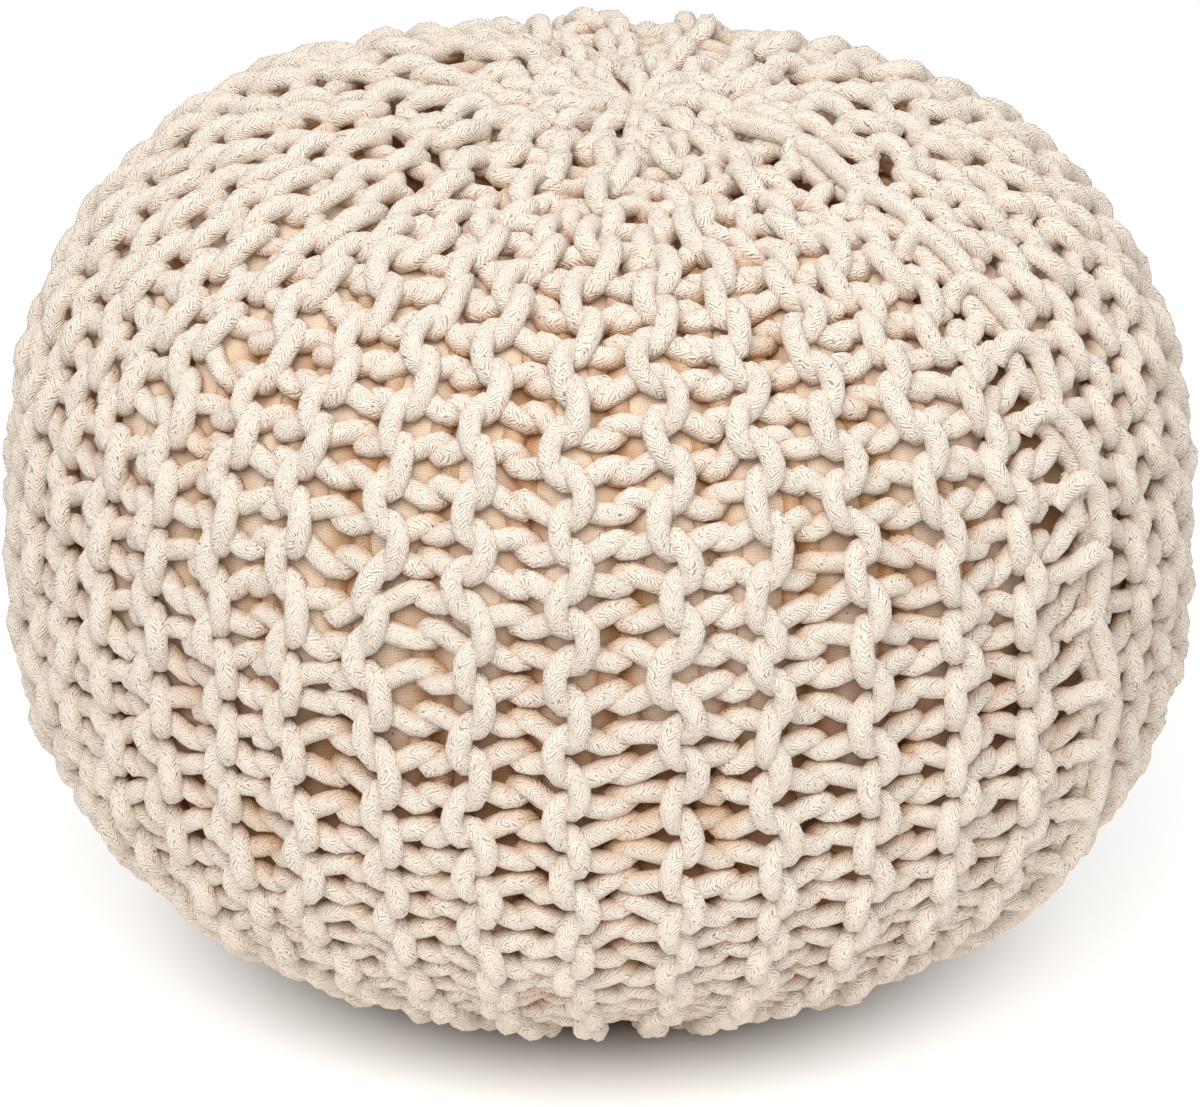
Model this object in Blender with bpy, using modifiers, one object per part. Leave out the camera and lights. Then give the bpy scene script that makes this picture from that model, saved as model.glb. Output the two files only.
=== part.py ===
"""Knitted pouf: a filled canvas bag in a cover knitted from thick cotton cord.

The cover is a round cushion with flat-topped shoulders. Its outline is two quarter superellipses that meet at
the waist, cut off flat where the pouf rests. The ribs of the knitting run from pole to pole. Each is raised
over the space beside it, and every second space is cut through at every second stitch, so the bag shows.

Metres, +Z up, the pouf stands on z = 0 and its middle is on the Z axis. The front faces -Y.
"""

import math

import bmesh
import bpy
import numpy as np

# Outline of the cover, over the tops of its ribs.
DIAMETER = 0.500
HEIGHT = 0.376
WAIST_HEIGHT = 0.173
TOP_POWER = 3.0  # 2 is an ellipse, more is squarer at the shoulder
BOTTOM_POWER = 2.28
SINK = 0.010  # how far the outline's lowest point would reach under the floor
DIMPLE_DEPTH = 0.005  # where the cords are gathered at the top
DIMPLE_RADIUS = 0.030

# Knitting.
RIBS = 38
STITCHES = 20  # from the top of the shoulder to the edge of the flat underside
RIB_HEIGHT = 0.0085  # of a rib over the space beside it, nearly one cord
COVER_THICKNESS = 0.0085
FIRST_RADIUS = 0.0175  # where the first stitch starts, round the pole
GATHER_RADIUS = 0.035  # the ribs die out inside this, and reach full height at FULL_RADIUS
FULL_RADIUS = 0.130
FLATTENED_HEIGHT = 0.035  # near the floor they are pressed flat over this height
GAP_RADIUS = 0.125  # the gaps nearer to the poles are pulled shut

# Seam. It takes the place of one rib.
SEAM_ANGLE = 54.0  # degrees from the front, towards +X
SEAM_CORD_RADIUS = 0.0045
SEAM_TOP_STITCH = 2
SEAM_BOTTOM_STITCH = 18

CLEARANCE = 0.0004  # between pieces that touch
BAG_STEPS = 76

# One repeat of the cover is two ribs wide. share is the way across it, and raised says whether that line is
# the top of a rib. The space after GAP_AFTER is the one that is cut.
REPEAT = (
    # share, raised
    (0.00, True),
    (0.13, False),
    (0.37, False),
    (0.50, True),
    (0.75, False),
)
GAP_AFTER = 1

# Colours as linear RGB.
CORD_COLOUR = (0.73, 0.60, 0.49)
SEAM_COLOUR = (0.70, 0.57, 0.46)
CANVAS_COLOUR = (0.78, 0.62, 0.44)


def outline(samples=2000):
    """Radius and height of the cover's outline, from the top pole to the rim of its flat underside."""
    turn = np.linspace(90, -90, samples)
    upper = turn >= 0
    power = np.where(upper, TOP_POWER, BOTTOM_POWER)
    reach = np.where(upper, HEIGHT - WAIST_HEIGHT, WAIST_HEIGHT + SINK)
    across = np.abs(np.cos(np.radians(turn))) ** (2 / power)
    along = np.abs(np.sin(np.radians(turn))) ** (2 / power)
    radius = DIAMETER / 2 * across
    height = WAIST_HEIGHT + np.sign(turn) * reach * along
    height = np.where(upper, height - DIMPLE_DEPTH * np.exp(-((radius / DIMPLE_RADIUS) ** 2)), height)
    above = height > 0
    return radius[above], height[above]


def stations():
    """The ends of each stitch down the outline: radius, height, and the direction that points inwards."""
    radius, height = outline()
    step = np.hypot(np.diff(radius), np.diff(height))
    length = np.concatenate([[0], np.cumsum(step)])
    top = height > WAIST_HEIGHT
    first = np.interp(FIRST_RADIUS, radius[top], length[top])
    at = np.linspace(first, length[-1], STITCHES + 1)
    down_r = np.gradient(radius, length)
    down_z = np.gradient(height, length)
    size = np.hypot(down_r, down_z)
    rows = []
    for place in at:
        r, z, dr, dz, norm = (np.interp(place, length, v) for v in (radius, height, down_r, down_z, size))
        rows.append((r, z, dz / norm, -dr / norm))
    r, _, inward_r, inward_z = rows[-1]
    between = math.hypot(inward_r, inward_z + 1)
    rows[-1] = (r, 0.0, inward_r / between, (inward_z + 1) / between)
    return rows


def rib_height(radius, height):
    """Height of the ribs at a station: one cord on the side, less at the gather and where the floor presses."""
    gathered = (radius - GATHER_RADIUS) / (FULL_RADIUS - GATHER_RADIUS)
    pressed = height / FLATTENED_HEIGHT
    return RIB_HEIGHT * min(max(gathered, 0), 1) * min(max(pressed, 0), 1)


def inside(station, depth):
    """Radius and height at a depth under the outline."""
    r, z, inward_r, inward_z = station
    return r + depth * inward_r, z + depth * inward_z


def around(radius, height, degrees):
    """The point at an angle from the front."""
    angle = math.radians(degrees)
    return radius * math.sin(angle), -radius * math.cos(angle), height


def material(name, colour, roughness):
    made = bpy.data.materials.new(name)
    made.use_nodes = True
    shader = made.node_tree.nodes["Principled BSDF"]
    shader.inputs["Base Color"].default_value = (*colour, 1)
    shader.inputs["Roughness"].default_value = roughness
    shader.inputs["Metallic"].default_value = 0
    return made


def link(name, data, finish, collection):
    made = bpy.data.objects.new(name, data)
    data.materials.append(finish)
    collection.objects.link(made)
    return made


def lines_round():
    """Angle and raised or not, for each line of the cover from pole to pole, starting at the seam."""
    repeat = 720 / RIBS
    lines = [
        (SEAM_ANGLE + (turn + share) * repeat, raised)
        for turn in range(RIBS // 2)
        for share, raised in REPEAT
    ]
    lines[0] = (SEAM_ANGLE, False)
    return lines


def knitted_cover(rows, collection):
    """The outer face, ribs and gaps, given its thickness by Solidify."""
    mesh = bmesh.new()
    lines = lines_round()
    grid = []
    for station in rows:
        height = rib_height(station[0], station[1])
        grid.append([
            mesh.verts.new(around(*inside(station, 0 if raised else height), angle))
            for angle, raised in lines
        ])
    for row, (upper, lower) in enumerate(zip(grid, grid[1:])):
        wide = min(rows[row][0], rows[row + 1][0]) > GAP_RADIUS
        off_floor = rows[row + 1][1] > FLATTENED_HEIGHT / 2
        open_row = row % 2 == 0 and wide and off_floor
        for column in range(len(lines)):
            if open_row and column % len(REPEAT) == GAP_AFTER:
                continue
            after = (column + 1) % len(lines)
            mesh.faces.new((upper[column], lower[column], lower[after], upper[after]))
    top = mesh.verts.new((0, 0, HEIGHT - DIMPLE_DEPTH))
    bottom = mesh.verts.new((0, 0, 0))
    for column in range(len(lines)):
        after = (column + 1) % len(lines)
        mesh.faces.new((top, grid[0][column], grid[0][after]))
        mesh.faces.new((bottom, grid[-1][after], grid[-1][column]))
    data = bpy.data.meshes.new("knitted_cover")
    mesh.to_mesh(data)
    mesh.free()
    cover = link("knitted_cover", data, material("cotton_cord", CORD_COLOUR, 0.9), collection)
    shell = cover.modifiers.new("Thickness", "SOLIDIFY")
    shell.thickness = COVER_THICKNESS
    shell.offset = -1
    return cover


def inner_liner(rows, collection):
    """The filled bag: a profile turned round the axis, close inside the cover."""
    mesh = bmesh.new()
    under = COVER_THICKNESS + CLEARANCE
    profile = [inside(row, rib_height(row[0], row[1]) + under) for row in rows]
    profile = [(0, HEIGHT - DIMPLE_DEPTH - under), *profile, (0, under)]
    points = [mesh.verts.new((r, 0, z)) for r, z in profile]
    for upper, lower in zip(points, points[1:]):
        mesh.edges.new((upper, lower))
    data = bpy.data.meshes.new("inner_liner")
    mesh.to_mesh(data)
    mesh.free()
    bag = link("inner_liner", data, material("canvas", CANVAS_COLOUR, 0.85), collection)
    turned = bag.modifiers.new("Turn", "SCREW")
    turned.axis = "Z"
    turned.steps = BAG_STEPS
    turned.render_steps = BAG_STEPS
    turned.use_merge_vertices = True
    turned.merge_threshold = 0.00001
    return bag


def seam_cord(rows, collection):
    """The cord of the seam, laid where a rib is left out."""
    curve = bpy.data.curves.new("seam_cord", "CURVE")
    curve.dimensions = "3D"
    curve.bevel_depth = SEAM_CORD_RADIUS
    curve.bevel_resolution = 2
    curve.use_fill_caps = True
    spline = curve.splines.new("POLY")
    route = rows[SEAM_TOP_STITCH:SEAM_BOTTOM_STITCH + 1]
    spline.points.add(len(route) - 1)
    for point, station in zip(spline.points, route):
        depth = rib_height(station[0], station[1]) - SEAM_CORD_RADIUS - CLEARANCE
        point.co = (*around(*inside(station, depth), SEAM_ANGLE), 1)
    return link("seam_cord", curve, material("seam_cotton_cord", SEAM_COLOUR, 0.9), collection)


def main():
    for old in list(bpy.data.objects):
        bpy.data.objects.remove(old)
    collection = bpy.data.collections.new("knitted_pouf")
    bpy.context.scene.collection.children.link(collection)
    rows = stations()
    knitted_cover(rows, collection)
    inner_liner(rows, collection)
    seam_cord(rows, collection)


main()
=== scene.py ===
# %% [markdown]
# # Knitted pouf
# A filled canvas bag in a cover of garter stitch, knitted from thick cotton cord. The cloth is a rectangle
# worked sideways: its rows of loops run from pole to pole, and both ends are gathered to a point. Every
# cord is real geometry. A loop is a formula, a row of loops is one line of cord, and the cover is 76 such
# rows.

# %% Imports and the CAD frame
import math

import bpy
import numpy as np
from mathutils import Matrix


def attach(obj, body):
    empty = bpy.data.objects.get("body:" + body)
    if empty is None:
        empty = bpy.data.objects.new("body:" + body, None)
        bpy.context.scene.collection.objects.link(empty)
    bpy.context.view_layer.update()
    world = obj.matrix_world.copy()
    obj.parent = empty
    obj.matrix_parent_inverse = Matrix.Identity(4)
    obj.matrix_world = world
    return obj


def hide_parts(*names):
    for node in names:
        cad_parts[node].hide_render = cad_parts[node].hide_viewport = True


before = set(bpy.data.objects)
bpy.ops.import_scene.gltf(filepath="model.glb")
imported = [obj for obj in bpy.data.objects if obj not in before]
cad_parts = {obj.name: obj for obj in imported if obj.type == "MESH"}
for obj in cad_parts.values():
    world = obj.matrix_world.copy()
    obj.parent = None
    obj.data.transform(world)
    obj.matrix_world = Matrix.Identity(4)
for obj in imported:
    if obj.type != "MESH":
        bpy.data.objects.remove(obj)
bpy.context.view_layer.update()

# %% [markdown]
# ## The outline
# The pouf is a solid of revolution to start with. Its outline is that of the CAD model: two quarter
# superellipses that meet at the waist, cut off flat at the floor. It is kept as a table by distance from
# the top pole, because knitting is laid out by distance along the cloth. All sizes are in metres.

# %% Sizes of the outline
RADIUS = 0.250
HEIGHT = 0.376
WAIST_HEIGHT = 0.173
TOP_POWER = 3.0
BOTTOM_POWER = 2.28
SINK = 0.010  # how far the outline's lowest point would reach under the floor
SLOPE_PART = 40  # the slope is averaged over the whole outline divided by this
GATHER = (0.015, 0.024)  # where the cords meet at the top, from the axis
GATHER_REACH = 0.21  # radius at which this shift has died out
STUFFED = 1.007  # the bag's filling pushes the cords out by this factor

# Fuller places on the upper side: the far shoulder, and two knots of cord behind the gather.
FULLER = (
    # x, y, height, reach
    (-0.160, 0.070, 0.0085, 0.070),
    (-0.070, 0.110, 0.0035, 0.060),
    (0.065, 0.110, 0.0050, 0.030),
    (0.150, 0.070, 0.0050, 0.060),
    (-0.002, 0.118, 0.0065, 0.015),
    (0.036, 0.110, 0.0030, 0.018),
)


# %% The outline as a table
def outline(samples=6000):
    """Radius, height and inward direction by distance from the top pole.

    Radius is the cosine of a turning angle and height its sine, each to the power of two over the
    superellipse's own power. The inward direction is square to the slope, averaged over a short length.
    """
    turn = np.linspace(90, -90, samples)
    upper = turn >= 0
    power = np.where(upper, TOP_POWER, BOTTOM_POWER)
    reach = np.where(upper, HEIGHT - WAIST_HEIGHT, WAIST_HEIGHT + SINK)
    radius = RADIUS * np.abs(np.cos(np.radians(turn))) ** (2 / power)
    height = WAIST_HEIGHT + np.sign(turn) * reach * np.abs(np.sin(np.radians(turn))) ** (2 / power)
    height = np.maximum(height, 0)
    length = np.concatenate([[0], np.cumsum(np.hypot(np.diff(radius), np.diff(height)))])
    even = np.linspace(0, length[-1], samples)
    radius = np.interp(even, length, radius)
    height = np.interp(even, length, height)
    window = np.hanning(samples // SLOPE_PART)
    window = window / window.sum()
    pad = len(window)
    down_r = np.convolve(np.pad(np.gradient(radius, even), pad, "edge"), window, "same")[pad:-pad]
    down_z = np.convolve(np.pad(np.gradient(height, even), pad, "edge"), window, "same")[pad:-pad]
    norm = np.hypot(down_r, down_z)
    return even, radius, height, down_z / norm, -down_r / norm


AT, OUT_R, OUT_Z, IN_R, IN_Z = outline()
LENGTH = AT[-1]
print("outline from pole to pole:", round(LENGTH, 3), "m")


# %% From cloth to space
def smooth(value, low, high):
    """0 below low, 1 above high and an S-curve between."""
    share = np.clip((value - low) / (high - low), 0, 1)
    return share * share * (3 - 2 * share)


def on_surface(angle, along, depth):
    """Points at an angle from the front, a distance from the top pole and a depth under the outline.

    The outline's radius is widened by STUFFED before the depth is taken off. The upper half leans a little
    towards the gather, by a share that is 1 at the pole and 0 at the shoulder.
    A bell curve, e to the minus square of the distance, lifts each fuller place.
    """
    r = np.interp(along, AT, OUT_R) * STUFFED + depth * np.interp(along, AT, IN_R)
    z = np.interp(along, AT, OUT_Z) + depth * np.interp(along, AT, IN_Z)
    lean = np.where(z > WAIST_HEIGHT, 1 - smooth(r, 0, GATHER_REACH), 0)
    x = r * np.sin(angle) + GATHER[0] * lean
    y = -r * np.cos(angle) + GATHER[1] * lean
    upper = smooth(z, WAIST_HEIGHT, HEIGHT)
    for place_x, place_y, lift, reach in FULLER:
        away = ((x - place_x) ** 2 + (y - place_y) ** 2) / reach**2
        z = z + lift * np.exp(-away) * upper
    return np.stack([x, y, z], axis=-1)


def outward(angle, along):
    """Unit vectors that point out of the surface."""
    r = -np.interp(along, AT, IN_R)
    z = -np.interp(along, AT, IN_Z)
    return np.stack([r * np.sin(angle), -r * np.cos(angle), z], axis=-1)


# %% [markdown]
# ## Tools for the materials
# Every material here is a small graph of nodes. These helpers add a node, give it its numbers and return
# its output, so that a formula reads nearly like a formula.

# %% Node helpers
def node(tree, kind, **settings):
    """A new node with its settings."""
    made = tree.nodes.new(kind)
    for name, value in settings.items():
        setattr(made, name, value)
    return made


def sum_of(tree, operation, first, second=0.0, third=0.0, clamp=False):
    """The output of a Math node. Each input is a number or another node's output."""
    made = node(tree, "ShaderNodeMath", operation=operation, use_clamp=clamp)
    for socket, value in zip(made.inputs, (first, second, third)):
        if isinstance(value, (int, float)):
            socket.default_value = value
        else:
            tree.links.new(value, socket)
    return made.outputs[0]


def mix_colour(tree, share, first, second):
    """A blend of two colours, each a triple or a node's output."""
    made = node(tree, "ShaderNodeMix", data_type="RGBA")
    for socket, value in ((made.inputs[0], share), (made.inputs[6], first), (made.inputs[7], second)):
        if isinstance(value, (int, float)):
            socket.default_value = value
        elif isinstance(value, tuple):
            socket.default_value = (*value, 1)
        else:
            tree.links.new(value, socket)
    return made.outputs[2]


def noise(tree, place, scale, detail):
    """Soft noise from 0 to 1 with the given number of lumps a metre."""
    made = node(tree, "ShaderNodeTexNoise")
    made.inputs["Scale"].default_value = scale
    made.inputs["Detail"].default_value = detail
    tree.links.new(place, made.inputs["Vector"])
    return made.outputs["Fac"]


def painted_depth_shade(tree, colour, shade_colour, start, end):
    """The colour, blended into painted shade as the depth under the outline goes from start to end."""
    depth = node(tree, "ShaderNodeAttribute", attribute_name="depth").outputs["Fac"]
    spread = 1 / (end - start)
    share = sum_of(tree, "MULTIPLY_ADD", depth, spread, -start * spread, clamp=True)
    return mix_colour(tree, share, colour, shade_colour)


def flecks(tree, place, scale, size, chosen):
    """Dark, by different amounts, in a dot round the middle of some of a Voronoi pattern's cells.

    Everywhere else it is 0. A dot reaches 0.4 to 1.4 times size from the middle, by the pattern's own
    measure, and chosen is the share of the cells that have one.
    """
    cells = node(tree, "ShaderNodeTexVoronoi")
    cells.inputs["Scale"].default_value = scale
    tree.links.new(place, cells.inputs["Vector"])
    shade = node(tree, "ShaderNodeSeparateColor")
    tree.links.new(cells.outputs["Color"], shade.inputs[0])
    reach = sum_of(tree, "MULTIPLY_ADD", shade.outputs[1], size, size * 0.4)
    dot = sum_of(tree, "LESS_THAN", cells.outputs["Distance"], reach)
    dot = sum_of(tree, "MULTIPLY", dot, sum_of(tree, "LESS_THAN", shade.outputs[0], chosen))
    return sum_of(tree, "MULTIPLY", dot, sum_of(tree, "MULTIPLY_ADD", shade.outputs[2], 0.6, 0.3))


# %% [markdown]
# ## Camera, floor and light
# The camera stands 3 m away and looks down 23.5 degrees, which comes from a fit to the places of the gaps
# in the knitting. The light is a pale studio: a broad lamp from above the camera, weaker ones from the
# right and from straight above, and a cool even sky. The floor glows a little away from the pouf, which is
# painted light: it makes the floor look like a lit white sweep, and where the glow fades near the pouf the
# floor's shadow shows.

# %% Camera
PHOTO_WIDTH = 1200
CAMERA_DISTANCE = 3.0
CAMERA_DOWN = 23.48  # degrees
CAMERA_FOCAL_PIXELS = 7077.0
AIM_HEIGHT = 0.172
AIM_RIGHT = 0.0003
SENSOR_WIDTH = 36  # millimetres


def make_camera():
    """A level camera on a line that falls at CAMERA_DOWN degrees to the aim."""
    data = bpy.data.cameras.new("camera")
    camera = bpy.data.objects.new("camera", data)
    bpy.context.scene.collection.objects.link(camera)
    down = math.radians(CAMERA_DOWN)
    camera.location = (
        AIM_RIGHT,
        -CAMERA_DISTANCE * math.cos(down),
        AIM_HEIGHT + CAMERA_DISTANCE * math.sin(down),
    )
    camera.rotation_euler = (math.pi / 2 - down, 0, 0)
    data.sensor_fit = "HORIZONTAL"
    data.sensor_width = SENSOR_WIDTH
    data.lens = CAMERA_FOCAL_PIXELS / PHOTO_WIDTH * SENSOR_WIDTH
    bpy.context.scene.camera = camera
    print("lens:", round(data.lens, 1), "mm")


make_camera()


# %% Floor and light
FLOOR_RADIUS = 1.15
FLOOR_MIDDLE = (0, 0.55, -0.0005)
FLOOR_COLOUR = (0.60, 0.565, 0.53, 1)
GLOW_COLOUR = (0.95, 0.98, 1, 1)
GLOW_CENTRE = (0, -0.534, 0)  # from the floor's own middle, so it lies 16 mm behind the pouf's
GLOW_RAMP = (0.112, 0.212, 0.0, 0.60)  # from one distance to the other, it rises from 0 to 0.60
SKY_COLOUR = (0.92, 0.96, 1.0, 1)
SKY_STRENGTH = 0.44
LAMPS = (
    # name, place, aim, size, watts, colour
    ("key", (-0.35, -2.2, 2.2), (0, 0, 0.15), 2.3, 77, (1.0, 0.985, 0.96)),
    ("fill", (1.8, -1.4, 1.5), (0, 0, 0.15), 1.8, 9, (0.95, 0.98, 1.0)),
    ("top", (0.0, -0.3, 2.9), (0, 0, 0.2), 2.6, 17, (1.0, 0.99, 0.97)),
)


def area_light(name, place, aim, size, power, colour):
    """A round lamp that faces its aim."""
    data = bpy.data.lights.new(name, "AREA")
    data.shape = "DISK"
    data.size = size
    data.energy = power
    data.color = colour
    lamp = bpy.data.objects.new(name, data)
    bpy.context.scene.collection.objects.link(lamp)
    lamp.location = place
    way = np.subtract(aim, place)
    tilt = math.acos(-way[2] / np.linalg.norm(way))
    lamp.rotation_euler = (tilt, 0, math.atan2(way[1], way[0]) - math.pi / 2)


def make_floor():
    """A white disc, a little wider than the view, that gives off light of its own except near the pouf."""
    bpy.ops.mesh.primitive_circle_add(
        vertices=64,
        radius=FLOOR_RADIUS,
        fill_type="NGON",
        location=FLOOR_MIDDLE,
    )
    floor = bpy.context.object
    floor.name = "floor"
    finish = bpy.data.materials.new("floor_white")
    finish.use_nodes = True
    shader = finish.node_tree.nodes["Principled BSDF"]
    shader.inputs["Base Color"].default_value = FLOOR_COLOUR
    shader.inputs["Roughness"].default_value = 0.9
    shader.inputs["Specular IOR Level"].default_value = 0.1
    shader.inputs["Emission Color"].default_value = GLOW_COLOUR
    tree = finish.node_tree
    place = node(tree, "ShaderNodeTexCoord").outputs["Object"]
    away = node(tree, "ShaderNodeVectorMath", operation="DISTANCE")
    away.inputs[1].default_value = GLOW_CENTRE
    tree.links.new(place, away.inputs[0])
    glow = node(tree, "ShaderNodeMapRange", interpolation_type="SMOOTHSTEP")
    for socket, value in zip(glow.inputs[1:5], GLOW_RAMP):
        socket.default_value = value
    tree.links.new(away.outputs["Value"], glow.inputs[0])
    tree.links.new(glow.outputs[0], shader.inputs["Emission Strength"])
    floor.data.materials.append(finish)


def make_sky():
    """Even light from all round."""
    world = bpy.data.worlds.new("studio")
    world.use_nodes = True
    background = world.node_tree.nodes["Background"]
    background.inputs["Color"].default_value = SKY_COLOUR
    background.inputs["Strength"].default_value = SKY_STRENGTH
    bpy.context.scene.world = world


make_floor()
make_sky()
for lamp_row in LAMPS:
    area_light(*lamp_row)
bpy.context.scene.view_settings.view_transform = "Standard"
bpy.context.scene.view_settings.look = "None"
bpy.context.scene.cycles.diffuse_bounces = 8

# %% [markdown]
# ## One row of loops
# Angles below are in turns of the stitch: 0 is the head of a loop, half is the sinker between two loops.
# Along the row the cord goes forward by one stitch a turn, plus a sine of twice the turn, which carries it
# back at the legs and gives the loop its narrow neck. Across the row it follows the cosine. Its depth
# follows the cube of the cosine, so that the head and the sinker lie at the faces of the cloth and the legs
# lie flat between. In garter stitch each row turns its heads the other way from the row before, and that
# makes the ridges. One thing differs from real knitting: where the loops of two rows cross, their tubes run
# into one another, by about half a cord on the sides and by more near the poles, because both lie at the
# same depth there. Real cord goes over and under.

# %% Sizes of the knitting
CORD = 0.0094  # diameter
RIDGES = 38  # two rows each
STITCHES = 24  # from pole to pole
RIDGE_ANGLE = -4.3  # degrees from the front of one ridge at the waist
LEAN = 3.0  # degrees that the ridges turn over the upper half
LEAN_PART = 0.55  # share of the way down at which they have stopped turning
NECK = 0.19  # of the stitch pitch
NECK_CROWDED = 0.3  # share of this that is lost where the ridges crowd
REACH = 0.0051  # of a head or sinker past the middle of its ridge
REACH_SUNK = 0.6  # share of REACH that is lost on a sunk ridge
REACH_UNEVEN = 0.16  # share of it by which loops differ
LOW_REACH = 0.5  # share of it that is lost where the pouf turns in towards the floor
LOW = (0.03, 0.15)  # heights from where LOW_REACH is lost to where nothing is
THICKNESS = 1.5  # between the middles of the front and the back cords, in cord diameters
STRAND = (0.022, 0.050)  # outline's radii from a straight strand to a full loop
STRAND_RISE = 0.6  # share of half the thickness by which a straight strand lies further out
CROWD = (0.095, 0.150)  # from the outer radius inwards, every second ridge sinks under its neighbours
CROWD_SPREAD = 0.8  # share by which a ridge that stays on top spreads there, and one that sinks shrinks
CROWD_MESS = 0.0018  # how unevenly the loops lie there
CROWD_SINK = 1.1  # cord diameters that a sunk ridge lies deeper
MESS = 0.0006  # how unevenly the loops lie everywhere
CROWN_SINK = 0.9  # cord diameters, for the two steps below
CROWN_ROWS = (0.028, 0.065)  # from the outer radius inwards, every second row sinks
CROWN_RIDGES = (0.012, 0.032)  # and so does every fourth ridge
POLE_DIP = 0.014  # deeper still at the pole itself
POLE_DIP_RADIUS = 0.010
FLOOR_LINE = 0.001  # where the outline is lower than this, cords lie evenly on the floor
ROW_LEAST = 0.004  # radii are not taken smaller than this when rows are laid out
SEAM_RIDGE = 6
SEAM_PULL = 0.2  # of the loops' swing, back from the seam
SEAM_SINK = 0.0055  # and how much deeper they lie
FIELD_ACROSS = 0.0019  # how far neighbouring loops wander together: across, along and in or out
FIELD_ALONG = 0.0022
FIELD_DEPTH = 0.0011
SIDES = 12  # of a cord
STEPS = 20  # of a cord, in one stitch
LUMPS = 0.058  # standard deviation of the cord's radius, as a share of it


# %% Irregularity
def field(angle, along, size, seed, waves=36):
    """A smooth random value at each place: a sum of cosine waves.

    Each goes round the pouf a whole number of times, so that the values meet at the back.
    """
    random = np.random.default_rng(seed)
    total = np.zeros(np.broadcast(angle, along).shape)
    for _ in range(waves):
        wave = random.uniform(4, 22)
        way = random.uniform(0, math.tau)
        round_waves = round(wave * math.cos(way) * RADIUS * math.tau)
        start = random.uniform(0, math.tau)
        total = total + np.cos(round_waves * angle + math.tau * wave * math.sin(way) * along + start)
    return size * total / math.sqrt(waves / 2)


def uneven(rows, stitches, seed):
    """A random value from -1 to 1 for each half stitch of each row.

    Half a cosine wave eases it from one to the next.
    """
    values = np.random.default_rng(seed).uniform(-1, 1, (2 * RIDGES, 2 * STITCHES + 4))
    place = 2 * stitches + 1
    low = np.floor(place).astype(int)
    share = (1 - np.cos(math.pi * (place - low))) / 2
    return values[rows, low] * (1 - share) + values[rows, low + 1] * share


# %% How the cloth has settled
# Shares of the terms in settle(), in radians round the pouf and in metres down it.
DRIFT_ROUND = (0.0993, 0.2026, -0.03, -0.0864, -0.0113, 0.0187, -0.0698, -0.1531, 0.0456, 0.0109)
DRIFT_DOWN = (0.00759, 0.01519, 0.03327, 0.00149, 0.00204, 0.01972, -0.00339, 0.01339, -0.00247, -0.00682)
HELD = (0.05, 0.16)  # outline's radii from where the cloth is held to where it drifts freely
SETTLE_LEAST = 0.006  # radii are not taken smaller than this when angles are worked out


def settle(angle, along):
    """Angle and distance from the pole where a place of the even knitting has come to lie.

    A broad drift is a sum of products: powers of the share of the way down, from -1 to 1, times the sine or
    cosine of the angle. The drift down the pouf dies out at the poles, where the cloth is held. On top of it
    comes the wander that cords which cross have in common.
    """
    radius = np.maximum(np.interp(along, AT, OUT_R), SETTLE_LEAST)
    way = along / LENGTH * 2 - 1
    sine = np.sin(angle)
    cosine = np.cos(angle)
    double = np.sin(2 * angle)
    one = np.ones_like(sine * way)
    terms = (
        one,
        way * one,
        way**2 * one,
        sine * one,
        sine * way,
        sine * way**2,
        cosine * one,
        cosine * way,
        double * one,
        double * way,
    )
    terms = np.stack(terms, axis=-1)
    held = smooth(radius, *HELD)
    moved = angle + terms @ np.array(DRIFT_ROUND) + field(angle, along, FIELD_ACROSS, 1) / radius
    lower = along + held * (terms @ np.array(DRIFT_DOWN)) + field(angle, along, FIELD_ALONG, 2)
    return moved, lower


# %% Stitches along the outline
SHIFT = 0.38  # stitches by which the even spacing is shifted, at most
SHIFT_START = 0.44  # where the wave of this shift begins
SHIFT_LENGTH = 0.5  # of the wave
SHIFT_EVEN = 0.07  # stitches by which all of them are shifted


def stitch_at(along):
    """The stitch number at a distance from the top pole: its share of the way down, plus a sine wave.

    The wave makes stitches a little longer at the shoulder than below the waist.
    """
    wave = SHIFT * np.sin(math.tau * (along - SHIFT_START) / SHIFT_LENGTH)
    return along / LENGTH * STITCHES + wave + SHIFT_EVEN


STITCH_TABLE = stitch_at(AT)


def distance_of(stitch):
    """The distance from the top pole of a stitch number, read back from the table."""
    return np.interp(stitch, STITCH_TABLE, AT)


print("stitch pitch:", round(LENGTH / STITCHES * 1000, 1), "mm")


# %% The line of one row
def ridge_angle(ridge, along):
    """The angle of a ridge's middle, which turns a little over the upper half."""
    share = smooth(1 - along / (LENGTH * LEAN_PART), 0, 1)
    return math.radians(RIDGE_ANGLE) + math.tau * ridge / RIDGES + math.radians(LEAN) * share


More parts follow.
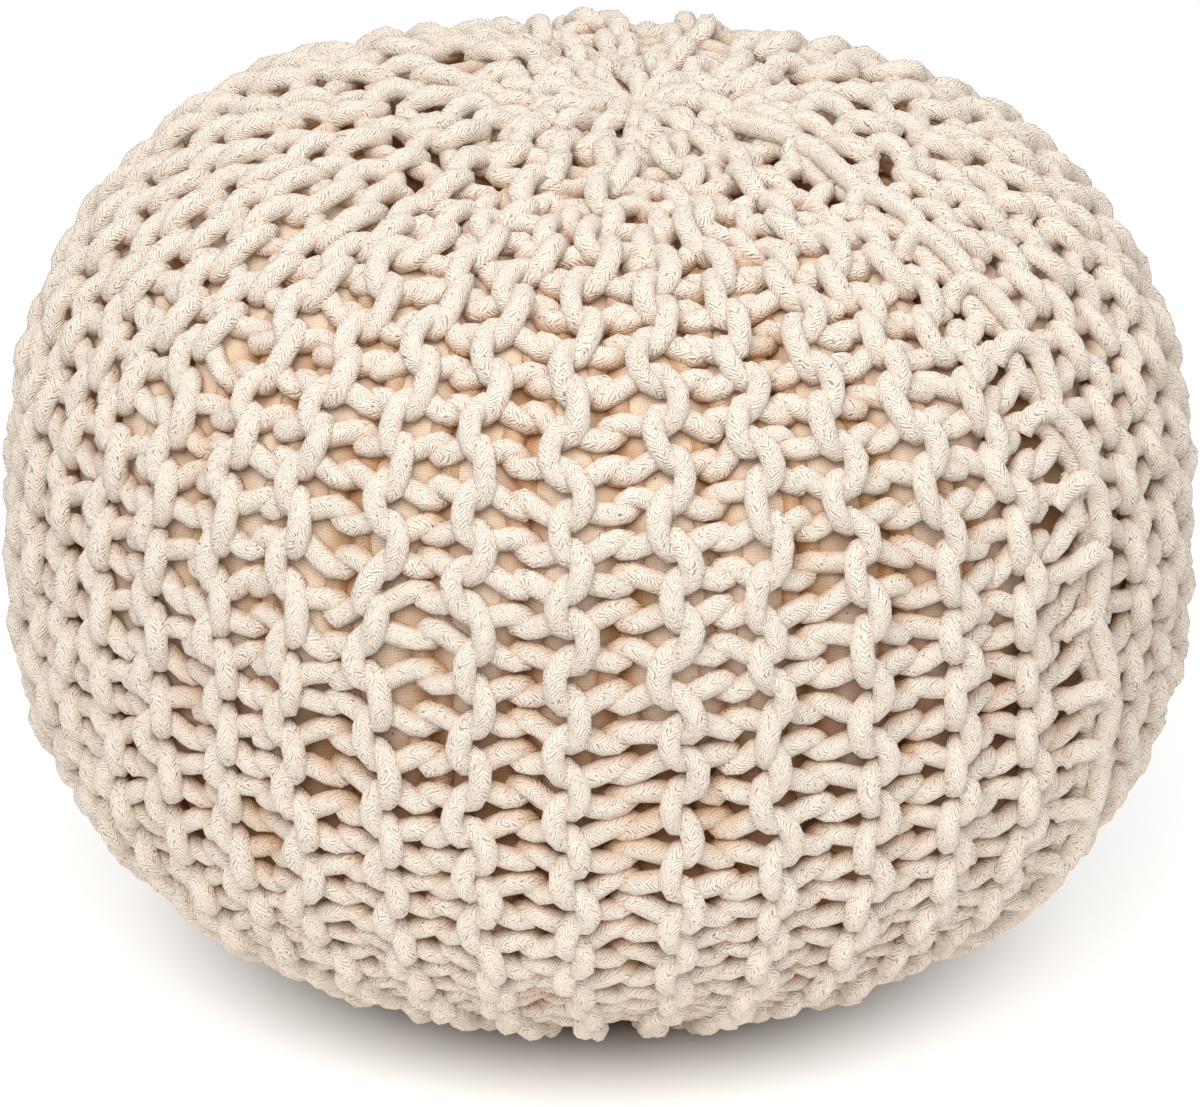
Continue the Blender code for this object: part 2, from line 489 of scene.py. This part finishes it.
def row_lines(rows, stitches):
    """Angle, distance along and depth of the middle of the cord, one line for each row.

    rows is a column of row numbers and stitches a line of stitch numbers. Near the poles the loops narrow to
    straight strands, and all but some of the ridges sink under the rest. The front loops of the seam's ridge
    are drawn back and in, under the seam's own hooks.
    """
    turn = stitches * math.tau
    radius = np.interp(distance_of(stitches), AT, OUT_R)
    ridge = (rows + 1) // 2
    crowd = 1 - smooth(radius, *CROWD)
    sunk = crowd * (ridge % 2)
    strand = smooth(radius, *STRAND)
    along = distance_of(stitches + NECK * (1 - NECK_CROWDED * crowd) * strand * np.sin(2 * turn))
    radius = np.maximum(np.interp(along, AT, OUT_R), ROW_LEAST)
    pitch = math.tau * radius / RIDGES
    low = 1 - smooth(np.interp(along, AT, OUT_Z), *LOW)
    reach = REACH * (1 - REACH_SUNK * sunk) * (1 - LOW_REACH * low)
    reach = reach * (1 + REACH_UNEVEN * uneven(rows, stitches, 5))
    spread = 1 + CROWD_SPREAD * (crowd - 2 * sunk)
    swing = (pitch / 4 * spread + reach) * strand
    across = swing * np.cos(turn)
    face = np.where(rows % 2 == 0, 1, -1) * np.cos(turn) ** 3
    held = np.where(ridge == SEAM_RIDGE, np.maximum(-face, 0), 0)
    across = across * (1 - SEAM_PULL * held)
    depth = CORD / 2 * (1 + THICKNESS * (1 + face * strand - STRAND_RISE * (1 - strand)))
    depth = depth + SEAM_SINK * held
    depth = depth + CORD * CROWD_SINK * sunk
    depth = depth + CORD * CROWN_SINK * (rows % 2) * (1 - smooth(radius, *CROWN_ROWS))
    depth = depth + CORD * CROWN_SINK * (ridge % 4 == 2) * (1 - smooth(radius, *CROWN_RIDGES))
    depth = depth + POLE_DIP * np.exp(-((radius / POLE_DIP_RADIUS) ** 2))
    on_floor = np.interp(along, AT, OUT_Z) < FLOOR_LINE
    mess = MESS + CROWD_MESS * crowd * strand
    middle = ridge + ((rows + 0.5) / 2 - ridge) * spread
    angle = ridge_angle(middle, along) + (across + mess * uneven(rows, stitches, 6)) / radius
    wander = field(angle, along, FIELD_DEPTH, 3) + mess * uneven(rows, stitches, 8)
    depth = depth + np.where(on_floor, 0, wander)
    angle, along = settle(angle, along)
    return angle, along + mess * uneven(rows, stitches, 7), depth


# %% [markdown]
# ## A cord round a line
# The tube's ring at each point stands square to the line. Its first axis lies in the surface and its second
# points out of it, so the ring never twists. The radius wavers a little, because soft cord is never quite
# round. A UV map holds the turn round the cord and the metres along it, from a different start on each
# cord, which is what the braid's material needs.

# %% Tubes from arrays
BRAID_START = 0.618  # metres from the braid's start on one cord to that on the next, taken over again past 1


def sweep(points, outs, depth, radius):
    """Vertices, faces and UVs of a closed tube round each line: ring = cos(turn) * side + sin(turn) * up.

    points is lines x steps x 3, outs is a direction out of the surface at each of them, and depth is how far
    they lie under the outline.
    """
    lines, steps = points.shape[:2]
    tangent = np.gradient(points, axis=1)
    tangent = tangent / np.linalg.norm(tangent, axis=-1, keepdims=True)
    side = np.cross(tangent, outs)
    side = side / np.linalg.norm(side, axis=-1, keepdims=True)
    up = np.cross(side, tangent)
    turn = np.arange(SIDES) / SIDES * math.tau
    ring = np.cos(turn)[:, None] * side[:, :, None, :] + np.sin(turn)[:, None] * up[:, :, None, :]
    lump = np.random.default_rng(lines + steps).normal(0, LUMPS, (lines, steps, SIDES))
    size = radius * (1 + lump)
    vertices = points[:, :, None, :] + size[..., None] * ring
    deep = depth[..., None] - size * np.sin(turn)
    index = np.arange(lines * steps * SIDES).reshape(lines, steps, SIDES)
    after = np.roll(index, -1, axis=2)
    quads = np.stack([index[:, :-1], after[:, :-1], after[:, 1:], index[:, 1:]], axis=-1).reshape(-1, 4)
    stretch = np.linalg.norm(np.diff(points, axis=1), axis=-1)
    length = np.concatenate([np.zeros((lines, 1)), np.cumsum(stretch, axis=1)], axis=1)
    total = float(length[:, -1].sum())
    length = length + (np.arange(lines)[:, None] * BRAID_START) % 1
    low_u = np.arange(SIDES) / SIDES
    high_u = low_u + 1 / SIDES
    corner_u = np.stack([low_u, high_u, high_u, low_u], axis=-1)
    corner_u = np.broadcast_to(corner_u, (lines, steps - 1, SIDES, 4))
    near = length[:, :-1, None]
    far = length[:, 1:, None]
    corner_v = np.broadcast_to(np.stack([near, near, far, far], axis=-1), corner_u.shape)
    uv = np.stack([corner_u, corner_v], axis=-1).reshape(-1, 2)
    caps = np.concatenate([index[:, 0, ::-1], index[:, -1]])
    return (vertices.reshape(-1, 3), quads, caps, uv, deep.ravel()), total


def mesh_object(name, arrays, finish):
    """A smooth mesh from arrays of points, four-sided faces, end caps, UVs and depths under the outline."""
    vertices, quads, caps, uv, deep = arrays
    mesh = bpy.data.meshes.new(name)
    loops = np.concatenate([quads.ravel(), caps.ravel()]).astype(np.int32)
    counts = np.concatenate([np.full(len(quads), 4), np.full(len(caps), caps.shape[1])]).astype(np.int32)
    starts = np.concatenate([[0], np.cumsum(counts)[:-1]]).astype(np.int32)
    mesh.vertices.add(len(vertices))
    mesh.loops.add(len(loops))
    mesh.polygons.add(len(counts))
    mesh.vertices.foreach_set("co", vertices.astype(np.float32).ravel())
    mesh.loops.foreach_set("vertex_index", loops)
    mesh.polygons.foreach_set("loop_start", starts)
    mesh.polygons.foreach_set("loop_total", counts)
    mesh.update(calc_edges=True)
    layer = mesh.uv_layers.new(name="around_along")
    full = np.zeros((len(loops), 2))
    full[: len(uv)] = uv
    layer.data.foreach_set("uv", full.astype(np.float32).ravel())
    # The depth is kept for the materials, which paint shade with it.
    mesh.attributes.new("depth", "FLOAT", "POINT").data.foreach_set("value", deep.astype(np.float32))
    mesh.polygons.foreach_set("use_smooth", np.ones(len(counts), dtype=bool))
    mesh.materials.append(finish)
    made = bpy.data.objects.new(name, mesh)
    bpy.context.scene.collection.objects.link(made)
    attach(made, "root")
    print(name, len(quads) * 2 + len(caps) * (caps.shape[1] - 2), "triangles")
    return made


# %% [markdown]
# ## The cord's finish
# The cord is braided cotton, soft and matt. Its yarns lie in columns along the cord and slant left and
# right by turns, which reads as a herringbone. The grooves between the yarns are darkened with painted
# shade, with patches of darker strokes in the deepest ones and dots of it where the fluff is low. The fibres
# make the yarns' edges fluffy, and bits of husk in the raw cotton show as tiny dark flecks. All of it is
# worked out from the UV map and from the place in space. Deeper in the cloth the cord also turns darker and
# warmer: painted shade, for the shade in the gaps between the cords.

# %% The braid
CORD_COLOUR = (0.94, 0.84, 0.735)
CORD_PAINTED_SHADE = (0.62, 0.27, 0.04)  # painted shade far in: warm and dark, as in the gaps between the cords
CORD_SHADE_DEPTHS = (0.0085, 0.0165)  # depths from the cord's colour to the painted shade
# Painted shade in the grooves between the yarns, then in the strokes and dots in the deepest of them.
CORD_GROOVE_SHADE = (0.62, 0.45, 0.32)
CORD_STROKE_SHADE = (0.50, 0.29, 0.16)
CORD_STAIN = (0.86, 0.73, 0.60)
FLECK_COLOUR = (0.09, 0.05, 0.03)
COLUMNS = 8.0  # of yarns round the cord
YARN = 0.0014  # from one yarn to the next, along the cord
SLANT = 2.5  # yarns passed on the way across a column
WANDER = 1.9  # yarns by which they stray along the cord
BEND = 0.7  # columns by which they stray round it
FLUFF = 1.5  # height of the fluff, where the yarns have 1
RELIEF = 0.0005  # metres of bump to a height of 1
GROOVE_SHADE = 0.34  # strength of the painted shade between yarns
STROKE_SHADE = 0.85  # strength of the painted shade in patches of dark strokes in the deepest grooves
SPECKLE = 0.5  # strength of the dots of painted shade where the fluff is low
STAIN = 0.3  # strength of the broad stains
FLECK_SQUEEZE = 1.5  # by how much flecks are narrower round the cord
FLECK_STRETCH = 0.75  # they are longer along it by one over this


def cord_material(name):
    """Braided cotton: a zigzag of yarns over the UV map, with fluff, lumps, flecks and painted shade."""
    made = bpy.data.materials.new(name)
    made.use_nodes = True
    tree = made.node_tree
    shader = tree.nodes["Principled BSDF"]
    uv = node(tree, "ShaderNodeUVMap", uv_map="around_along")
    split = node(tree, "ShaderNodeSeparateXYZ")
    tree.links.new(uv.outputs[0], split.inputs[0])
    place = node(tree, "ShaderNodeTexCoord").outputs["Object"]
    wander = sum_of(tree, "MULTIPLY", noise(tree, place, 300, 1), WANDER)
    bend = sum_of(tree, "MULTIPLY", noise(tree, place, 180, 1), BEND)
    columns = sum_of(tree, "MULTIPLY_ADD", split.outputs[0], COLUMNS, bend)
    zigzag = sum_of(tree, "PINGPONG", columns, 1.0)
    yarns = sum_of(tree, "MULTIPLY_ADD", split.outputs[1], 1 / YARN, wander)
    yarns = sum_of(tree, "MULTIPLY_ADD", zigzag, SLANT, yarns)
    crest = sum_of(tree, "ABSOLUTE", sum_of(tree, "SINE", sum_of(tree, "MULTIPLY", yarns, math.pi)))
    middle = sum_of(tree, "ABSOLUTE", sum_of(tree, "SINE", sum_of(tree, "MULTIPLY", columns, math.pi)))
    rounded = sum_of(tree, "MULTIPLY_ADD", sum_of(tree, "POWER", middle, 0.5), 0.4, 0.6)
    relief = sum_of(tree, "MULTIPLY", sum_of(tree, "POWER", crest, 0.6), rounded)
    fluff = noise(tree, place, 1150, 3)
    lumps = noise(tree, place, 200, 2)
    height = sum_of(tree, "MULTIPLY_ADD", fluff, FLUFF, relief)
    height = sum_of(tree, "MULTIPLY_ADD", lumps, 1.0, height)
    bump = node(tree, "ShaderNodeBump")
    bump.inputs["Strength"].default_value = 1.0
    bump.inputs["Distance"].default_value = RELIEF
    tree.links.new(height, bump.inputs["Height"])
    tree.links.new(bump.outputs[0], shader.inputs["Normal"])
    # Painted shade in the grooves, in random patches of strokes in the deepest, and in dots where the fluff
    # is low.
    stroke_patches = sum_of(tree, "MULTIPLY_ADD", noise(tree, place, 600, 2), 5.0, -2.35, clamp=True)
    hollow = sum_of(tree, "SUBTRACT", 1.0, relief)
    groove_shade = sum_of(tree, "MULTIPLY", hollow, GROOVE_SHADE)
    stroke_shade = sum_of(tree, "MULTIPLY", sum_of(tree, "POWER", hollow, 3.0), stroke_patches)
    stroke_shade = sum_of(tree, "MULTIPLY", stroke_shade, STROKE_SHADE)
    speckle = sum_of(tree, "MULTIPLY_ADD", fluff, -4.0, 1.9, clamp=True)
    stroke_shade = sum_of(tree, "MAXIMUM", stroke_shade, sum_of(tree, "MULTIPLY", speckle, SPECKLE))
    stain = sum_of(tree, "MULTIPLY_ADD", noise(tree, place, 26, 3), 2.2, -0.85, clamp=True)
    colour = mix_colour(tree, sum_of(tree, "MULTIPLY", stain, STAIN), CORD_COLOUR, CORD_STAIN)
    # Painted shade: darker and warmer deeper in the cloth.
    colour = painted_depth_shade(tree, colour, CORD_PAINTED_SHADE, *CORD_SHADE_DEPTHS)
    colour = mix_colour(tree, groove_shade, colour, CORD_GROOVE_SHADE)
    colour = mix_colour(tree, stroke_shade, colour, CORD_STROKE_SHADE)
    drawn_out = node(tree, "ShaderNodeVectorMath", operation="MULTIPLY")
    drawn_out.inputs[1].default_value = (math.pi * CORD * FLECK_SQUEEZE, FLECK_STRETCH, 0)
    tree.links.new(uv.outputs[0], drawn_out.inputs[0])
    dark = flecks(tree, drawn_out.outputs[0], scale=700, size=0.24, chosen=0.26)
    colour = mix_colour(tree, dark, colour, FLECK_COLOUR)
    tree.links.new(colour, shader.inputs["Base Color"])
    shader.inputs["Roughness"].default_value = 0.92
    shader.inputs["Specular IOR Level"].default_value = 0.15
    shader.inputs["Sheen Weight"].default_value = 0.7
    shader.inputs["Sheen Roughness"].default_value = 0.6
    shader.inputs["Sheen Tint"].default_value = (1.0, 0.89, 0.78, 1)
    return made


COTTON = cord_material("cotton_cord_look")

# %% [markdown]
# ## The knitted cover
# The rows are made in pieces of a few ridges each, like the gores of a ball, so that no piece is too heavy.

# %% Make the rows
GORES = 8
ROW_END = 0.12  # stitches that a row stops short of each pole
ROW_UNEVEN = 0.05  # share by which a cord's thickness changes along it


def make_cover():
    """Every row as one closed tube, pressed flat where it would reach through the floor."""
    stitches = np.linspace(ROW_END, STITCHES - ROW_END, STITCHES * STEPS + 1)
    pieces = []
    cord_length = 0.0
    for number, rows in enumerate(np.array_split(np.arange(2 * RIDGES), GORES), start=1):
        rows = rows[:, None]
        angle, along, depth = row_lines(rows, stitches[None, :])
        radius = CORD / 2 * (1 + ROW_UNEVEN * uneven(rows, stitches[None, :], 9))
        made, length = sweep(on_surface(angle, along, depth), outward(angle, along), depth, radius[..., None])
        made[0][:, 2] = np.maximum(made[0][:, 2], 0.0)
        cord_length = cord_length + length
        piece = mesh_object(f"knit_gore_{number}", made, COTTON)
        pieces.append(piece)
    print("cord in the cover:", round(cord_length, 1), "m")
    return pieces


cover = make_cover()
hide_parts("knitted_cover")

# %% [markdown]
# ## The seam
# The two ends of the knitted strip are joined by one more cord. At each stitch it comes up from between the
# ridges, crosses over and turns down the pouf in a long hook, which tucks in under the next one.

# %% Make the hooks of the seam
SEAM_FIRST = 2  # stitch of the first hook
SEAM_LAST = 21  # and the one after that of the last
HOOK_POINTS = 34
HOOK_UNEVEN = 0.07  # share by which the hooks' sizes differ
HOOK_NARROW = (0.05, 0.20)  # outline's radii from the narrowest hooks to the full ones
HOOK_LEAST = 0.35  # width of the narrowest, as a share of the full one

# One hook, in millimetres from the middle of its ridge: to the right, down the pouf, and out of the cloth.
HOOK = np.array([
    # right, down, out
    (-13, -5, -7),
    (-10, -8, -4),
    (-6, -10, 0),
    (-1, -9, 2),
    (2.5, -3, 2.5),
    (3, 6, 2.5),
    (3, 15, 2),
    (2, 22, 0),
    (0, 27, -4),
    (-1, 30, -9),
]) / 1000


def curve_through(points, steps):
    """A smooth line through points: on each stretch, the four-point (Catmull-Rom) cubic."""
    ends = np.concatenate([[2 * points[0] - points[1]], points, [2 * points[-1] - points[-2]]])
    place = np.linspace(0, len(points) - 1, steps)
    low = np.minimum(place.astype(int), len(points) - 2)
    t = (place - low)[:, None]
    a, b, c, d = (ends[low + shift] for shift in range(4))
    return 0.5 * (2 * b + (c - a) * t + (2 * a - 5 * b + 4 * c - d) * t**2 + (3 * b - a - 3 * c + d) * t**3)


def make_seam():
    """All the hooks as tubes, each with its own small differences of size."""
    random = np.random.default_rng(21)
    count = SEAM_LAST - SEAM_FIRST
    path = curve_through(HOOK, HOOK_POINTS)[None]
    size = 1 + HOOK_UNEVEN * random.uniform(-1, 1, (count, 1, 3))
    path = path * size
    start = distance_of(np.arange(SEAM_FIRST, SEAM_LAST)[:, None] + 0.5)
    along = start + path[..., 1]
    radius = np.interp(along, AT, OUT_R)
    width = HOOK_LEAST + (1 - HOOK_LEAST) * smooth(radius, *HOOK_NARROW)
    angle = ridge_angle(SEAM_RIDGE, along) + path[..., 0] * width / radius
    depth = CORD / 2 - path[..., 2] + field(angle, along, FIELD_DEPTH, 3)
    angle, along = settle(angle, along)
    thick = np.full((*along.shape, 1), CORD / 2)
    made, length = sweep(on_surface(angle, along, depth), outward(angle, along), depth, thick)
    made[0][:, 2] = np.maximum(made[0][:, 2], 0.0)
    seam = mesh_object("seam_hooks", made, COTTON)
    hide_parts("seam_cord")
    print("cord in the seam:", round(length, 2), "m")


make_seam()

# %% [markdown]
# ## The bag inside
# Between the cords shows the filled bag, plain unbleached canvas. It bulges out under the front ridges as
# far as the legs of the loops let it, and the back ridges press it in. Its weave is two sets of threads at
# right angles, drawn from the UV map in metres; the grooves between the threads are darkened with painted
# shade, and deeper under the outline the canvas turns darker and warmer with painted shade.

# %% The canvas
CANVAS_COLOUR = (0.90, 0.74, 0.57)
# painted shade, far in: warm and dark, as in the gaps
CANVAS_PAINTED_SHADE = (0.58, 0.27, 0.08)
CANVAS_SHADE_DEPTHS = (0.0150, 0.0200)  # depths from the canvas's colour to the painted shade
# painted shade between the threads of the weave
CANVAS_GROOVE_SHADE = (0.58, 0.45, 0.33)
THREAD = 0.0012  # from one thread to the next


def canvas_material(name):
    """Plain weave, from the product of two sine waves without its sign, one wave for each set of threads."""
    made = bpy.data.materials.new(name)
    made.use_nodes = True
    tree = made.node_tree
    shader = tree.nodes["Principled BSDF"]
    uv = node(tree, "ShaderNodeUVMap", uv_map="around_along")
    split = node(tree, "ShaderNodeSeparateXYZ")
    tree.links.new(uv.outputs[0], split.inputs[0])
    place = node(tree, "ShaderNodeTexCoord").outputs["Object"]
    threads = []
    for output in split.outputs[:2]:
        turns = sum_of(tree, "MULTIPLY", output, math.pi / THREAD)
        threads.append(sum_of(tree, "SINE", turns))
    over = sum_of(tree, "MULTIPLY", threads[0], threads[1])
    weave = sum_of(tree, "ABSOLUTE", over)
    slub = noise(tree, place, 700, 3)
    height = sum_of(tree, "MULTIPLY_ADD", slub, 0.7, weave)
    bump = node(tree, "ShaderNodeBump")
    bump.inputs["Strength"].default_value = 0.8
    bump.inputs["Distance"].default_value = 0.0002
    tree.links.new(height, bump.inputs["Height"])
    tree.links.new(bump.outputs[0], shader.inputs["Normal"])
    # Painted shade between the threads, with random tone from the slubs on top.
    groove_shade = sum_of(tree, "MULTIPLY_ADD", weave, -1.2, 0.75, clamp=True)
    groove_shade = sum_of(tree, "MULTIPLY_ADD", slub, 0.8, sum_of(tree, "SUBTRACT", groove_shade, 0.4), clamp=True)
    # Painted shade: darker and warmer deeper under the outline.
    colour = painted_depth_shade(tree, CANVAS_COLOUR, CANVAS_PAINTED_SHADE, *CANVAS_SHADE_DEPTHS)
    colour = mix_colour(tree, groove_shade, colour, CANVAS_GROOVE_SHADE)
    dark = flecks(tree, place, scale=330, size=0.16, chosen=0.2)
    colour = mix_colour(tree, sum_of(tree, "MULTIPLY", dark, 0.7), colour, FLECK_COLOUR)
    tree.links.new(colour, shader.inputs["Base Color"])
    shader.inputs["Roughness"].default_value = 0.9
    shader.inputs["Specular IOR Level"].default_value = 0.15
    shader.inputs["Sheen Weight"].default_value = 0.15
    return made


# %% Make the bag
BAG_DEPTH = 0.0155  # of the canvas under the outline, where the legs of the loops cross it
BAG_PRESS = 0.0045  # deeper still, under the back ridges
BAG_BULGE = 0.0012  # less deep, in the gaps between the legs
BAG_SEAM = 0.0065  # deeper still, behind the seam
BAG_SEAM_SIDE = 0.2  # ridges by which this lies to the left of the seam's ridge
BAG_SEAM_SPREAD = 0.3  # divides the square of the distance in its bell curve, in ridges squared
BAG_CROWN = 0.011  # deeper still, behind the crowded ridges near the poles
BAG_LOW = 0.0060  # deeper still, where the pouf turns in towards the floor
BAG_OPEN = (0.08, 0.15)  # outline's radii from where the bag lies plain to where it follows the gaps
BAG_PRESSED = (0.05, 0.13)  # the same for the back ridges
BAG_CROWDED = (0.08, 0.14)  # outline's radii from all of BAG_CROWN to none
BAG_LOWERED = (0.11, 0.24)  # heights from all of BAG_LOW to none
BAG_CREASES = (0.0005, 0.0003)  # height of the broad creases and of those three times as fine
BAG_LEAST = 0.02  # radii are not taken smaller than this
BAG_ROUNDS = 304
BAG_RINGS = 168


def make_bag():
    """A surface of revolution whose depth follows the knitting, and which shifts with it.

    It is deep under the back ridges, by a power of the cosine across the ridges. The bulge in each gap is
    the square of a sine across them, times the square of the cosine along them. A bell curve takes it in
    behind the seam. It also lies deeper behind the crowded ridges near the poles, and where the pouf turns in
    towards the floor, which darkens the gaps there: they lie in more shade, and the painted shade that
    follows the depth grows stronger.
    """
    along = np.linspace(0, LENGTH, BAG_RINGS)
    angle = np.arange(BAG_ROUNDS) / BAG_ROUNDS * math.tau
    grid_angle, grid_along = np.meshgrid(angle, along)
    radius = np.maximum(np.interp(grid_along, AT, OUT_R), BAG_LEAST)
    height = np.interp(grid_along, AT, OUT_Z)
    open_share = smooth(radius, *BAG_OPEN)
    ridges = (grid_angle - ridge_angle(0, grid_along)) * RIDGES
    stitches = stitch_at(grid_along) * math.tau
    depth = BAG_DEPTH + BAG_PRESS * ((1 - np.cos(ridges)) / 2) ** 2 * smooth(radius, *BAG_PRESSED)
    depth = depth - BAG_BULGE * np.sin(ridges) ** 2 * np.cos(stitches) ** 2 * open_share
    beside = ridges / math.tau - SEAM_RIDGE + BAG_SEAM_SIDE
    depth = depth + BAG_SEAM * np.exp(-(beside**2) / BAG_SEAM_SPREAD) * open_share
    depth = depth + field(grid_angle, grid_along, BAG_CREASES[0], 7)
    depth = depth + field(grid_angle * 3, grid_along * 3, BAG_CREASES[1], 8)
    depth = depth + BAG_CROWN * (1 - smooth(radius, *BAG_CROWDED))
    depth = depth + field(grid_angle, grid_along, FIELD_DEPTH, 3) * (height > FLOOR_LINE)
    depth = depth + BAG_LOW * (1 - smooth(height, *BAG_LOWERED))
    moved, lower = settle(grid_angle, grid_along)
    moved = grid_angle + (moved - grid_angle) * open_share
    lower = np.clip(grid_along + (lower - grid_along) * open_share, 0, LENGTH)
    vertices = on_surface(moved, lower, depth).reshape(-1, 3)
    index = np.arange(BAG_ROUNDS * BAG_RINGS).reshape(BAG_RINGS, BAG_ROUNDS)
    after = np.roll(index, -1, axis=1)
    quads = np.stack([index[:-1], index[1:], after[1:], after[:-1]], axis=-1).reshape(-1, 4)
    caps = np.stack([index[0], index[-1, ::-1]])
    low_u = angle[None, :, None] * RADIUS
    high_u = low_u + math.tau / BAG_ROUNDS * RADIUS
    corner_u = np.concatenate([low_u, low_u, high_u, high_u], axis=-1)
    corner_u = np.broadcast_to(corner_u, (BAG_RINGS - 1, BAG_ROUNDS, 4))
    near = along[:-1, None, None]
    far = along[1:, None, None]
    corner_v = np.broadcast_to(np.concatenate([near, far, far, near], axis=-1), corner_u.shape)
    uv = np.stack([corner_u, corner_v], axis=-1).reshape(-1, 2)
    arrays = (vertices, quads, caps, uv, depth.ravel())
    bag = mesh_object("canvas_bag", arrays, canvas_material("canvas_look"))
    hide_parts("inner_liner")


make_bag()
